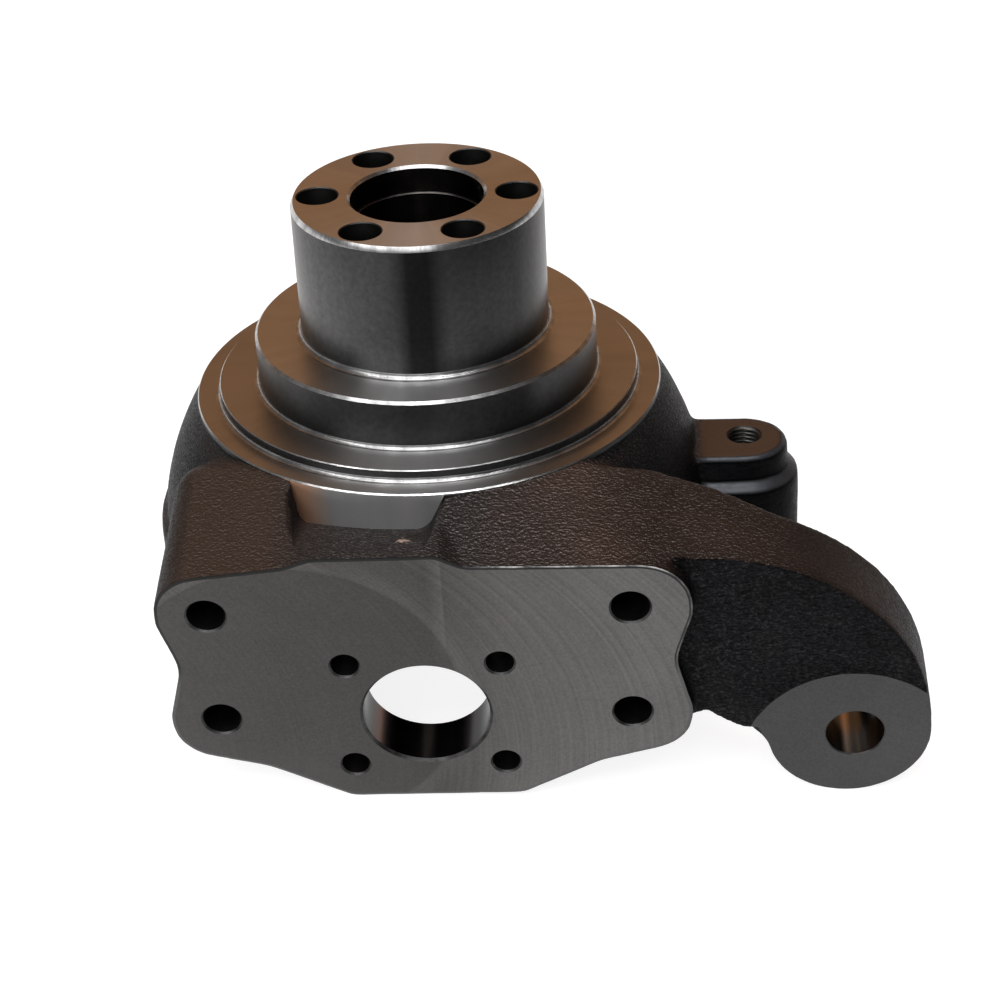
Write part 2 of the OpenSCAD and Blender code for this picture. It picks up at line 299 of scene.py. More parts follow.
def together(tree, *values):
    node = tree.nodes.new("ShaderNodeCombineXYZ")
    for socket, value in zip(node.inputs, values):
        feed(tree, socket, value)
    return node.outputs[0]


# how far a face looks to each side, from the surface's own direction
def facing(tree):
    return apart(tree, tree.nodes.new("ShaderNodeNewGeometry").outputs["Normal"])


def noise(tree, point, scale, detail, roughness):
    node = tree.nodes.new("ShaderNodeTexNoise")
    tree.links.new(point, node.inputs["Vector"])
    for key, value in (("Scale", scale), ("Detail", detail), ("Roughness", roughness)):
        node.inputs[key].default_value = value
    return node.outputs["Fac"]


def ramp(tree, value, stops):
    node = tree.nodes.new("ShaderNodeValToRGB")
    elements = node.color_ramp.elements
    for element, (at, colour) in ((elements[0], stops[0]), (elements[1], stops[-1])):
        element.position = at
        element.color = (*colour, 1)
    for at, colour in stops[1:-1]:
        elements.new(at).color = (*colour, 1)
    tree.links.new(value, node.inputs["Fac"])
    return node.outputs["Color"]


# carries a value from one span of numbers to another, and stops at the ends
def ranged(tree, value, span, out=(0, 1)):
    node = tree.nodes.new("ShaderNodeMapRange")
    tree.links.new(value, node.inputs["Value"])
    for key, number in zip(("From Min", "From Max", "To Min", "To Max"), (*span, *out)):
        node.inputs[key].default_value = number
    return node.outputs["Result"]


# 1 where the mask is 0, down to the share where it is 1
def dimmed(tree, mask, share):
    return ranged(tree, mask, (0, 1), (1, share))


def bump(tree, height, strength, depth):
    node = tree.nodes.new("ShaderNodeBump")
    node.inputs["Strength"].default_value = strength
    node.inputs["Distance"].default_value = depth
    tree.links.new(height, node.inputs["Height"])
    return node.outputs["Normal"]


def mixed(tree, factor, first, second):
    node = tree.nodes.new("ShaderNodeMix")
    node.data_type = "RGBA"
    for key, value in ((0, factor), (6, first), (7, second)):
        feed(tree, node.inputs[key], value)
    return node.outputs[2]


def grey(value, warm=0.0):
    return (value * (1 + warm), value, value * (1 - warm))


# Oiled sand-cast skin: brown on top and nearly black at the sides, partly its own colour and partly painted
# warm light on the tops and painted shade on the sides, with grains that catch real and painted light.
# The spans are places in metres, directions that a face looks in, or levels of a noise.
castLook = dict(
    pebbles=820, grain=1900, slots=520, patches=26, grainDepth=0.0004,
    drawnOut=(0.75, 1, 1), slotShape=(0.5, 1, 1.1),
    sideTones=[(0.3, (0.0040, 0.0040, 0.0044)), (0.52, (0.0075, 0.0076, 0.0088)),
               (0.72, (0.013, 0.0127, 0.0127))],
    topTones=[(0.3, (0.028, 0.0185, 0.0145)), (0.55, (0.043, 0.0265, 0.020)),
              (0.75, (0.060, 0.035, 0.025))],
    topUp=(0.5, 0.86), armTopUp=(0.3, 0.6), armX=(0.10, 0.13), topLeast=0.5,
    darkTop=(0.020, 0.0185, 0.0185), darkTopX=(0.075, 0.02), darkTopMost=0.8,
    leftBrown=(0.036, 0.0235, 0.018), leftBlockX=(-0.045, -0.062), leftX=(-0.06, -0.03), leftShare=0.55,
    backBrown=(0.15, 0.062, 0.028), backMost=0.85, backY=(-0.03, -0.045), backX=(0.07, 0.09),
    backFaces=(0.35, 0.6), backUp=(0.1, 0.4),
    frontFaces=(-0.75, -0.95), frontShare=0.55, pits=(0.38, 0.46),
    flankFaces=(0.28, 0.5), flankShare=0.6, rimFaces=(-0.4, -0.62), rimUp=(0.25, 0.4), rimShare=0.25,
    rightX=(0.07, 0.1), rightShare=0.35,
    litSlope=(0.03, 0.15), lit=1.1, shaded=0.7,
    glint=(0.26, 0.245, 0.24), glintGrain=(0.5, 0.62), evenGlint=0.3, glintUp=(0.3, 0.8), sideGlint=0.12,
    flankGlint=0.3, armEndX=(0.12, 0.17), armEndGlint=0.45, glintMetal=0.8,
    lugX=(0.118, 0.124), lugY=(-0.062, -0.052), lugSmooth=0.85,
    lugBrown=(0.115, 0.066, 0.042), lugDark=(0.0075, 0.0076, 0.0088),
    lugFlatUp=(0.93, 0.98), lugFlatZ=(0.032, 0.036),
    edge=(0.066, 0.069, 0.076), edgeFlatUp=(0.88, 0.97), edgeUp=(0.45, 0.8), edgeMetal=0.75,
    roughPebbles=(0.35, 0.65), roughness=(0.3, 0.55), shine=0.03,
    bump=1.0, depth=0.001, grainBump=0.25, pitBump=0.5, bumpPatches=(0.35, 0.6), patchBump=(0.7, 1),
    # scraped spot and small bright chip on the floor of the recess: place and reach in millimetres, colour
    spots=[((0.0, -104.0, 80.0), 5.0, (0.02, 0.016, 0.014)),
           ((-5.0, -107.0, 81.0), 2.4, (0.34, 0.25, 0.21))],
    spotCore=0.8, spotRagged=0.012)


def makeCastSkin(look):
    mat, tree, shader = shaderOf("castSkin")
    point = objectPoint(tree)
    x, y, z = apart(tree, point)
    sideX, sideY, sideZ = facing(tree)

    def on(value, span, out=(0, 1)):
        return ranged(tree, value, look[span], out)

    def without(mask):
        return minus(tree, 1.0, mask)

    # where on the casting: upper faces, the front wall of the arm, the side lug, flanks, rims and backs
    up = maths(tree, "MAXIMUM", on(sideZ, "topUp"), times(tree, on(sideZ, "armTopUp"), on(x, "armX")))
    front = on(sideY, "frontFaces")
    onLug = times(tree, on(x, "lugX"), on(y, "lugY"))
    rough = without(times(tree, onLug, look["lugSmooth"]))
    flank = on(maths(tree, "ABSOLUTE", sideX), "flankFaces")
    rim = times(tree, on(sideY, "rimFaces"), on(sideZ, "rimUp"))
    back = times(tree, on(sideY, "backFaces"), on(sideZ, "backUp"), on(y, "backY"), on(x, "backX"))
    right = on(x, "rightX")
    leftShare = on(x, "leftX", (look["leftShare"], 1))

    # grains, drawn out sideways, with painted light on their fronts and painted shade on their backs
    drawnOut = objectPoint(tree, scale=look["drawnOut"])
    behind = vectors(tree, "ADD", drawnOut, (0, look["grainDepth"], 0))["Vector"]
    pebbles = noise(tree, drawnOut, look["pebbles"], 3, 0.6)
    slope = minus(tree, noise(tree, behind, look["pebbles"], 3, 0.6), pebbles)
    grain = noise(tree, point, look["grain"], 3, 0.7)
    pits = on(noise(tree, objectPoint(tree, scale=look["slotShape"]), look["slots"], 4, 0.65), "pits")
    patches = noise(tree, point, look["patches"], 4, 0.6)

    brown = ramp(tree, patches, look["topTones"])
    brown = mixed(tree, on(x, "darkTopX", (0, look["darkTopMost"])), brown, look["darkTop"])
    brown = mixed(tree, on(x, "leftBlockX"), brown, look["leftBrown"])
    # the side lug is brown only on the flat of its upper step, partly painted warm light like the other tops
    lugFlat = times(tree, on(sideZ, "lugFlatUp"), on(z, "lugFlatZ"))
    brown = mixed(tree, onLug, brown, mixed(tree, lugFlat, look["lugDark"], look["lugBrown"]))
    # upper faces take the brown tones and the rest the near-black ones: partly the skin's own colour, partly
    # painted warm light and painted shade
    colour = mixed(tree, up, ramp(tree, patches, look["sideTones"]), brown)
    # painted reflection: faces on the right front that look back and up take the orange-brown of the warm
    # wall behind
    colour = mixed(tree, times(tree, back, look["backMost"]), colour, look["backBrown"])

    # painted light and shade of the grains, weaker on the lug and the left block
    lit = times(tree, on(slope, "litSlope"), rough, leftShare)
    shaded = times(tree, on(times(tree, slope, -1), "litSlope"), rough, leftShare)
    level = minus(tree, plus(tree, 1.0, times(tree, lit, look["lit"])), times(tree, shaded, look["shaded"]))
    level = times(tree, level,
                  dimmed(tree, times(tree, front, without(pits)), look["frontShare"]),
                  # painted shade on the steep flanks of the upper faces
                  dimmed(tree, times(tree, flank, up), look["flankShare"]),
                  # painted shade along rounded edges that look forward and a little up, such as the front
                  # edge of the arm's top
                  dimmed(tree, rim, look["rimShare"]),
                  # painted shade on the faces on the right, which the lamps light less, except the front
                  # walls
                  dimmed(tree, times(tree, right, without(front)), look["rightShare"]))
    colour = scaled(tree, colour, maths(tree, "MAXIMUM", level, times(tree, up, look["topLeast"])))

    # painted glints: where the painted light is strongest the colour turns pale and partly metal
    glint = times(tree, lit, lit, on(grain, "glintGrain", (look["evenGlint"], 1)),
                  on(sideZ, "glintUp", (look["sideGlint"], 1)), dimmed(tree, flank, look["flankGlint"]),
                  on(x, "armEndX", (1, look["armEndGlint"])))
    colour = mixed(tree, glint, colour, look["glint"])
    # painted highlight: the round edges of the side lug are given a bluish colour and metal, so that they
    # shine
    edge = times(tree, onLug, without(on(sideZ, "edgeFlatUp")), on(sideZ, "edgeUp"))
    colour = mixed(tree, edge, colour, look["edge"])
    ragged = times(tree, minus(tree, pebbles, 0.5), look["spotRagged"])
    for middle, reach, shade in look["spots"]:
        away = plus(tree, distance(tree, point, Vector(middle) * mm), ragged)
        colour = mixed(tree, ranged(tree, away, (reach * mm, reach * mm * look["spotCore"])), colour, shade)

    height = plus(tree, pebbles, times(tree, grain, look["grainBump"]))
    height = times(tree, height, on(patches, "bumpPatches", look["patchBump"]), rough, leftShare)
    height = plus(tree, height, times(tree, pits, front, look["pitBump"]))
    metal = maths(tree, "MAXIMUM", times(tree, glint, look["glintMetal"]),
                  times(tree, edge, look["edgeMetal"]))
    feed(tree, shader.inputs["Base Color"], colour)
    feed(tree, shader.inputs["Metallic"], metal)
    feed(tree, shader.inputs["Roughness"], on(pebbles, "roughPebbles", look["roughness"]))
    feed(tree, shader.inputs["Specular IOR Level"], look["shine"])
    feed(tree, shader.inputs["Normal"], bump(tree, height, look["bump"], look["depth"]))
    return mat


# Turned steel. Its tones are painted reflection: one steel made light on faces, edges and fillets and dark on
# walls, and each tone runs round the spindle from the left through 0.5 at the front to the right.
# walls: painted reflection, dark at the front
wallLook = dict(
    streakRun=1.2, streaks=7.0, streakiness=0.08, clouds=420, cloudiness=0.16,
    tones=[(0.0, grey(0.095)), (0.2, grey(0.105)), (0.32, grey(0.082)), (0.45, grey(0.05)),
           (0.49, grey(0.012)), (0.54, grey(0.012)), (0.59, grey(0.055)), (0.68, grey(0.055)),
           (0.78, grey(0.04)), (1.0, grey(0.095))],
    roughness=0.34, anisotropic=0.5, lines=5200, bump=0.12, lineDepth=0.00005)
lowWallLook = dict(
    wallLook,
    tones=[(0.0, grey(0.04)), (0.25, grey(0.05)), (0.42, grey(0.036)), (0.5, grey(0.022)), (0.6, grey(0.032)),
           (0.75, grey(0.05)), (1.0, grey(0.04))])
# faces: painted reflection, grey at the front and warm at the sides
faceLook = dict(
    wallLook, streaks=6.0, clouds=40, cloudiness=0.05, roughness=0.3, anisotropic=0.7, bump=0.15,
    tones=[(0.0, grey(0.46, 0.04)), (0.5, grey(0.52)), (1.0, grey(0.46, 0.04))])
lowFaceLook = dict(
    faceLook,
    tones=[(0.0, grey(0.37, 0.05)), (0.3, grey(0.40, 0.03)), (0.5, grey(0.5)), (0.7, grey(0.42)),
           (1.0, grey(0.37, 0.05))])
# edges and fillets: lighter than the walls, partly fresher steel and partly painted highlight
edgeLook = dict(
    wallLook, streakRun=0.2, streaks=16.0, streakiness=0.3, clouds=300, cloudiness=0.2,
    tones=[(0.0, grey(0.42)), (0.5, grey(0.5)), (1.0, grey(0.42))],
    roughness=0.25, anisotropic=0.0, lines=3000, bump=0.05)
filletLook = dict(
    edgeLook, streaks=9.0, streakiness=0.35, cloudiness=0.05, roughness=0.26,
    tones=[(0.0, grey(0.36)), (0.3, grey(0.30)), (0.5, grey(0.36)), (0.7, grey(0.30)), (1.0, grey(0.36))])
# recess wall: painted reflection, with a warm orange band towards the left
recessLook = dict(
    wallLook, streakiness=0.06, clouds=40, cloudiness=0.05, roughness=0.5, anisotropic=0.3, bump=0.1,
    tones=[(0.0, grey(0.03)), (0.31, grey(0.03)), (0.32, (0.75, 0.44, 0.29)), (0.345, (0.75, 0.44, 0.29)),
           (0.385, grey(0.41)), (0.555, grey(0.41)), (0.57, grey(0.03)), (1.0, grey(0.03))])
noiseSpan = (0.3, 0.7)  # levels between which nearly all of a noise lies


def makeTurned(name, look):
    mat, tree, shader = shaderOf(name)
    point = objectPoint(tree, onAxis=True)
    x, y, z = apart(tree, point)
    radius = maths(tree, "SQRT", plus(tree, times(tree, x, x), times(tree, y, y)))
    aside, ahead = maths(tree, "DIVIDE", x, radius), maths(tree, "DIVIDE", y, radius)
    part = maths(tree, "DIVIDE", maths(tree, "ARCTAN2", times(tree, y, -1), times(tree, x, -1)), math.pi)

    def uneven(value, amount):
        return ranged(tree, value, noiseSpan, (1 - amount, 1 + amount))

    ringed = together(tree, aside, ahead, times(tree, z, look["streakRun"]))
    streak = uneven(noise(tree, ringed, look["streaks"], 5, 0.65), look["streakiness"])
    cloud = uneven(noise(tree, point, look["clouds"], 4, 0.6), look["cloudiness"])
    feed(tree, shader.inputs["Base Color"],
         scaled(tree, ramp(tree, part, look["tones"]), times(tree, streak, cloud)))
    shader.inputs["Metallic"].default_value = 1
    shader.inputs["Roughness"].default_value = look["roughness"]
    shader.inputs["Anisotropic"].default_value = look["anisotropic"]
    shader.inputs["Anisotropic Rotation"].default_value = 0.25
    # the tangent runs round the spindle, turned back into the part's frame
    turn = tree.nodes.new("ShaderNodeVectorRotate")
    turn.rotation_type = "X_AXIS"
    turn.inputs["Angle"].default_value = -spindleLean
    feed(tree, turn.inputs["Vector"], together(tree, times(tree, ahead, -1), aside))
    feed(tree, shader.inputs["Tangent"], turn.outputs[0])
    lines = together(tree, times(tree, radius, look["lines"]), times(tree, z, look["lines"]))
    fine = noise(tree, lines, 1.0, 2, 0.6)
    feed(tree, shader.inputs["Normal"], bump(tree, fine, look["bump"], look["lineDepth"]))
    return mat


# Milled steel: a tone that lightens to the right and below, with faint marks of the cutter's sweep
milledLook = dict(
    middle=-0.02, sweep=0.135, lines=520, drift=3, clouds=26, grit=900, gritty=0.6, cloudy=0.3,
    tonesX=(-0.11, 0.21), lowZ=(0.0, -0.045), below=1.1,
    tones=[(0.0, grey(0.066, 0.04)), (0.36, grey(0.055, 0.04)), (0.46, grey(0.085, 0.04)),
           (0.62, grey(0.098, 0.03)), (0.70, grey(0.098, 0.03)), (0.78, grey(0.048)), (1.0, grey(0.052))],
    bandAt=(-0.058, -0.127, 0.01), bandR=0.074, bandW=0.009, bandEdge=(-0.0008, 0), bandLift=0.32,
    hairs=1100, hairNoise=(0.35, 0.65), hairLevel=(0.5, 1.3), field=(-0.001, 0.002), fieldLift=0.12,
    streakX=0.0105, streakW=0.006, streakEdge=(-0.0006, 0), streakZ=(0.03, 0.05),
    marksX=(0.105, 0.13), marks=(1.0, 0.12), marksPast=(-0.001, 0.004), marksInBand=0.35,
    roughness=0.36, bump=0.14, markDepth=0.00006)


def makeMilled(look):
    mat, tree, shader = shaderOf("milledFace")
    point = objectPoint(tree)
    x, _, z = apart(tree, point)
    down = minus(tree, z, look["middle"])
    inside = maths(tree, "MAXIMUM", minus(tree, look["sweep"] ** 2, times(tree, down, down)), 0.0)
    arc = minus(tree, x, maths(tree, "SQRT", inside))
    line = together(tree, times(tree, arc, look["lines"]), times(tree, z, look["drift"]))
    marks = noise(tree, line, 1.0, 5, 0.7)
    clouds = noise(tree, point, look["clouds"], 5, 0.65)
    grit = noise(tree, point, look["grit"], 3, 0.6)

    # the lighter band and streak where two sweeps of the cutter met
    past = minus(tree, distance(tree, point, look["bandAt"]), look["bandR"])
    hair = noise(tree, together(tree, times(tree, past, look["hairs"])), 1.0, 3, 0.7)
    band = times(tree, ranged(tree, past, (0, look["bandW"]), (look["bandLift"], 0)),
                 ranged(tree, past, look["bandEdge"]),
                 ranged(tree, hair, look["hairNoise"], look["hairLevel"]))
    aside = minus(tree, look["streakX"], x)
    streak = times(tree, ranged(tree, aside, (0, look["streakW"]), (look["bandLift"], 0)),
                   ranged(tree, aside, look["streakEdge"]), ranged(tree, z, look["streakZ"]))
    lift = plus(tree, 1.0, ranged(tree, past, look["field"], (0, look["fieldLift"])), band, streak)

    strength = times(tree, ranged(tree, x, look["marksX"], look["marks"]),
                     ranged(tree, past, look["marksPast"], (look["marksInBand"], 1)))
    variation = plus(tree, 1.0, times(tree, minus(tree, marks, 0.5), strength),
                     times(tree, minus(tree, grit, 0.5), look["gritty"]),
                     times(tree, minus(tree, clouds, 0.5), look["cloudy"]))
    low = ranged(tree, z, look["lowZ"], (1, look["below"]))
    tone = ramp(tree, ranged(tree, x, look["tonesX"]), look["tones"])
    feed(tree, shader.inputs["Base Color"], scaled(tree, tone, times(tree, low, lift, variation)))
    shader.inputs["Metallic"].default_value = 1
    shader.inputs["Roughness"].default_value = look["roughness"]
    feed(tree, shader.inputs["Normal"], bump(tree, marks, look["bump"], look["markDepth"]))
    return mat


# Drilled holes and their mouths
holeLook = dict(clouds=80, roughness=0.4, bump=0.1, depth=0.0001,
                tones=[(0.3, (0.04, 0.039, 0.037)), (0.7, (0.085, 0.082, 0.078))])
mouthLook = dict(clouds=160, roughness=0.45, bump=0.2, depth=0.0001,
                 tones=[(0.35, grey(0.03)), (0.65, grey(0.075))])


def makePlainSteel(name, look):
    mat, tree, shader = shaderOf(name)
    clouds = noise(tree, objectPoint(tree), look["clouds"], 4, 0.6)
    feed(tree, shader.inputs["Base Color"], ramp(tree, clouds, look["tones"]))
    shader.inputs["Metallic"].default_value = 1
    shader.inputs["Roughness"].default_value = look["roughness"]
    feed(tree, shader.inputs["Normal"], bump(tree, clouds, look["bump"], look["depth"]))
    return mat


# Fine edge of a milled face: its rims of burr are real, and their colours are painted: painted shade along
# the upper part, and a painted highlight on the outer rim right of the middle where it faces up.
# Its two rims are told apart by their depth in Y.
burrLook = dict(
    clouds=120, roughness=0.35, metal=0.5, rimY=(-0.12684, -0.12682),
    sharpX=(0.02, 0.026), sharpZ=(0.02, 0.03), sharpUp=(0.25, 0.4), sideShare=0.12,
    plain=grey(0.07), dull=grey(0.008),
    tones=[(0.40, grey(0.10)), (0.52, grey(0.45)), (0.62, grey(0.85))])


def makeBurr(look):
    mat, tree, shader = shaderOf("burr")
    point = objectPoint(tree)
    x, y, z = apart(tree, point)
    # painted shade above, painted highlight on the outer rim
    above = ranged(tree, z, look["sharpZ"])
    burrHighlight = times(tree, above, ranged(tree, x, look["sharpX"]),
                  ranged(tree, facing(tree)[2], look["sharpUp"], (look["sideShare"], 1)),
                  ranged(tree, y, look["rimY"]))
    bright = ramp(tree, noise(tree, point, look["clouds"], 4, 0.6), look["tones"])
    feed(tree, shader.inputs["Base Color"],
         mixed(tree, burrHighlight, mixed(tree, above, look["plain"], look["dull"]), bright))
    shader.inputs["Metallic"].default_value = look["metal"]
    shader.inputs["Roughness"].default_value = look["roughness"]
    return mat


# Walls of the bores, dark with oil, with streaks along each hole, painted shade towards their left and right,
# a lighter eye hole and a rusty streak beside the middle.
# Each streak in the list has its place in X and its width in millimetres: the first is rust, the second a
# painted warm reflection in the eye hole.
boredLook = dict(
    run=0.06, streaks=90, roughness=0.24,
    tones=[(0.3, (0.06, 0.059, 0.058)), (0.5, (0.12, 0.113, 0.108)), (0.72, (0.24, 0.22, 0.20))],
    leftX=(-0.027, -0.012), leftLevel=(0.12, 1), rightX=(0.010, 0.022), rightLevel=(1, 0.04),
    eyeX=(0.1, 0.11), eyeLevel=1.4,
    rust=[(-21.5, 3.5, (0.11, 0.055, 0.04)), (181.0, 2.6, (0.52, 0.42, 0.35))])


def makeBored(look):
    mat, tree, shader = shaderOf("boredWall")
    x = apart(tree, objectPoint(tree))[0]
    streaks = noise(tree, objectPoint(tree, scale=(1, look["run"], 1)), look["streaks"], 4, 0.6)
    # painted shade: darker towards the left and right of the middle, and lighter in the eye hole as painted
    # reflection
    level = times(tree, ranged(tree, x, look["leftX"], look["leftLevel"]),
                  ranged(tree, x, look["rightX"], look["rightLevel"]))
    level = maths(tree, "MAXIMUM", level, ranged(tree, x, look["eyeX"], (0, look["eyeLevel"])))
    colour = scaled(tree, ramp(tree, streaks, look["tones"]), level)
    for middle, width, shade in look["rust"]:
        aside = maths(tree, "ABSOLUTE", minus(tree, x, middle * mm))
        colour = mixed(tree, ranged(tree, aside, (width * mm, 0)), colour, shade)
    feed(tree, shader.inputs["Base Color"], colour)
    shader.inputs["Metallic"].default_value = 1
    shader.inputs["Roughness"].default_value = look["roughness"]
    return mat


finishes = {
    "castSkin": makeCastSkin(castLook),
    "turnedWall": makeTurned("turnedWall", wallLook),
    "lowWall": makeTurned("lowWall", lowWallLook),
    "turnedFace": makeTurned("turnedFace", faceLook),
    "lowFace": makeTurned("lowFace", lowFaceLook),
    "brightEdge": makeTurned("brightEdge", edgeLook),
    "fillet": makeTurned("fillet", filletLook),
    "recessWall": makeTurned("recessWall", recessLook),
    "milledFace": makeMilled(milledLook),
    "boredWall": makeBored(boredLook),
    "holeWall": makePlainSteel("holeWall", holeLook),
    "holeMouth": makePlainSteel("holeMouth", mouthLook),
    "burr": makeBurr(burrLook),
}
print("materials made")

# Sizes of the machining, in millimetres, from the record's mounts where it has them
seatR = size("spindle_seat", "r_mm")
landR = size("seal_land", "r_mm")
boreR = size("spindle_bore", "r_mm")
mouthR = size("spindle_mouth", "r_mm")
kingpinR = size("kingpin_bores", "r_mm")
faceY = abs(mounts["bracket_face"]["pos_m"][1]) / mm
ringZ = heightOf("ring_face")
turned = dict(ringR=103.75, discR=93.5, discStep=5.5, landStep=22.6, seatLen=61.8, mouthLen=13.0,
              chamfer=1.2, seatFillet=2.6, stepFillet=2.0, proud=0.1, lowest=54.0, bellR=95.0)
discZ = ringZ + turned["discStep"]
landZ = discZ + turned["landStep"]
topZ = landZ + turned["seatLen"]

# Every drilled hole: place, direction of its mouth, radius, depth and chamfer
drilled = {"end_bolts": (40, 0.45), "near_cap_bolts": (24.8, 0.8), "far_cap_bolts": (24.8, 0.8),
           "bracket_bolts": (30, 0.8)}
holes = []
endCount = size("end_bolts", "count")
for i in range(endCount):
    turnBy = Matrix.Rotation(math.tau * i / endCount, 4, "Z")
    spot = onSpindle @ turnBy @ Vector((size("end_bolts", "pcd_mm") / 2 * mm, 0, topZ * mm))
    holes.append((spot, spindleAxis, size("end_bolts", "hole_r_mm"), *drilled["end_bolts"]))
for name in ("near_cap_bolts", "far_cap_bolts", "bracket_bolts"):
    middle = Vector(mounts[name]["pos_m"])
    outward = toBack if middle.y > 0 else toFront
    for sx in (-0.5, 0.5):
        for sz in (-0.5, 0.5):
            spot = Vector((middle.x + sx * size(name, "spacing_x_mm") * mm, outward.y * faceY * mm,
                           middle.z + sz * size(name, "spacing_y_mm") * mm))
            holes.append((spot, outward, size(name, "hole_r_mm"), *drilled[name]))
lugHole = dict(x=141.3, r=size("lug_thread", "r_mm"), depth=34, chamfer=0.3, pitch=2,
               plugDepth=46, plugBelow=0.3)
lugSpot = onSpindle @ Vector((lugHole["x"], 0, heightOf("lug_face"))) * mm
eyeSpot = Vector(mounts["steering_eye"]["pos_m"])
eye = dict(r=12.6, chamfer=0.5, taper=1.9, depth=38, above=2, steps=64, plugR=13.8, plugDepth=32)
kingpin = dict(r=kingpinR, chamfer=1.2, taper=0, depth=30, above=3, steps=128)


# drilled hole with a chamfered mouth and a drill point, as a closed solid
def holeTool(spot, axis, r, depth, chamfer, ledge=0.6, above=3, steps=40):
    point = (r - ledge) / math.tan(math.radians(59))
    outline = [(0, above), (r + chamfer + above, above), (r, -chamfer), (r, -depth), (r - ledge, -depth),
               (0, -depth - point)]
    bands = ["holeWall", "holeMouth", "holeWall", "holeWall", "holeWall", "holeWall"]
    return lathe("hole", outline, steps, alongAxis(spot, axis), bands)


# bore with a chamfered mouth, as a closed solid
def boreTool(name, spot, axis, bore):
    r, chamfer, depth, above = bore["r"], bore["chamfer"], bore["depth"], bore["above"]
    outline = [(0, above), (r + chamfer + above, above), (r, -chamfer), (r - bore["taper"], -depth),
               (0, -depth)]
    bands = ["holeMouth", "holeMouth", "boredWall", "boredWall", "boredWall"]
    return lathe(name, outline, bore["steps"], alongAxis(spot, axis), bands)


# threaded hole: a closed tube whose radius follows the thread
def threadTool(spot, axis, hole, steps=44, levels=8, past=4):
    r, depth, chamfer, pitch = hole["r"], hole["depth"], hole["chamfer"], hole["pitch"]
    crest = 0.54 * pitch
    mouth = r + chamfer + 0.9 * crest
    rows = int(depth / pitch * levels)
    round2 = [(math.cos(math.tau * i / steps), math.sin(math.tau * i / steps)) for i in range(steps)]
    verts, faces = [], []
    for j in range(rows + 1):
        low = depth * j / rows
        for i, (c, s) in enumerate(round2):
            turn = (low / pitch + i / steps) % 1
            tooth = max(0.0, min(1.0, 1.25 - abs(turn - 0.5) * 3.2))
            out = r + crest * tooth
            if low < chamfer + crest:
                out = max(out, mouth - low)
            verts.append((out * mm * c, out * mm * s, -low * mm))
    verts += [(0, 0, past * mm), (0, 0, -(depth + past) * mm)]
    top = len(verts)
    verts += [((mouth + past) * mm * c, (mouth + past) * mm * s, past * mm) for c, s in round2]
    for i in range(steps):
        k = (i + 1) % steps
        faces.append((top + i, top + k, top - 2))
        faces.append((i, k, top + k, top + i))
        faces.append((rows * steps + k, rows * steps + i, top - 1))
        for j in range(rows):
            faces.append(((j + 1) * steps + i, (j + 1) * steps + k, j * steps + k, j * steps + i))
    return solid("thread", verts, faces, "holeWall", alongAxis(spot, axis))


# filler for a hole, so that the cast skin is made without it
def plug(spot, axis, r, inward, outward):
    return lathe("plug", [(0, outward), (r, outward), (r, -inward), (0, -inward)], 32, alongAxis(spot, axis))


# The cast body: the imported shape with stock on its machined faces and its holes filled, softened as cast
castSettings = dict(stock=2.2, eyeStock=2.6, plugWider=1.2, plugDeeper=8, plugShort=21.5, plugBelow=4,
                    earY=104.2, voxel=1.35, smoothing=10, lugSmoothing=8, waviness=0.3, waveSize=9, keep=0.3)
housing = place("housing_body", frame["nodes"]["swivel_housing"].data.copy())
openMesh(housing)
bpy.ops.mesh.remove_doubles(threshold=1e-5)
faceOutwards(housing)


# extrudes the flat faces that look along an axis, lie at a depth in Y and reach past a place in X
def stockOn(obj, outward, depth, amount, pastX=-1000, near=0.1, flat=0.99):
    openMesh(obj, "DESELECT")
    bpy.ops.object.mode_set(mode="OBJECT")
    for p in obj.data.polygons:
        middle = p.center / mm
        p.select = abs(middle.y - depth) < near and p.normal.dot(outward) > flat and middle.x > pastX
    found = sum(p.select for p in obj.data.polygons)
    bpy.ops.object.mode_set(mode="EDIT")
    bpy.ops.mesh.extrude_region_move(TRANSFORM_OT_translate={"value": outward * amount * mm})
    bpy.ops.object.mode_set(mode="OBJECT")
    print("stock on", found, "faces")


stock = castSettings["stock"]
stockOn(housing, toFront, -faceY, stock)
stockOn(housing, toBack, faceY, stock)
stockOn(housing, toFront, eyeSpot.y / mm, castSettings["eyeStock"], pastX=145)

fillers = []
for spot, axis, r, depth, _ in holes:
    wide, deep, out = r + castSettings["plugWider"], depth + castSettings["plugDeeper"], stock
    if axis is spindleAxis:
        out = -castSettings["plugBelow"]
    elif abs(spot.z) < 40 * mm:
        deep = castSettings["plugShort"]  # so that it ends inside the ear's wall
    fillers.append(plug(spot, axis, wide, deep, out))
fillers.append(plug(lugSpot, spindleAxis, lugHole["r"] + castSettings["plugWider"], lugHole["plugDepth"],
                    -lugHole["plugBelow"]))
for outward in (toFront, toBack):
    fillers.append(plug(outward * faceY * mm, outward, kingpinR + castSettings["plugWider"],
                        faceY - castSettings["earY"], stock))
fillers.append(plug(eyeSpot, toFront, eye["plugR"], eye["plugDepth"], castSettings["eyeStock"]))
housing = joined("housing_body", [housing] + fillers)
housing.data.materials.clear()
housing.data.materials.append(finishes["castSkin"])
remesh = housing.modifiers.new("skin", "REMESH")
remesh.mode = "VOXEL"
remesh.voxel_size = castSettings["voxel"] * mm
remesh.use_smooth_shade = True
applyAll(housing)

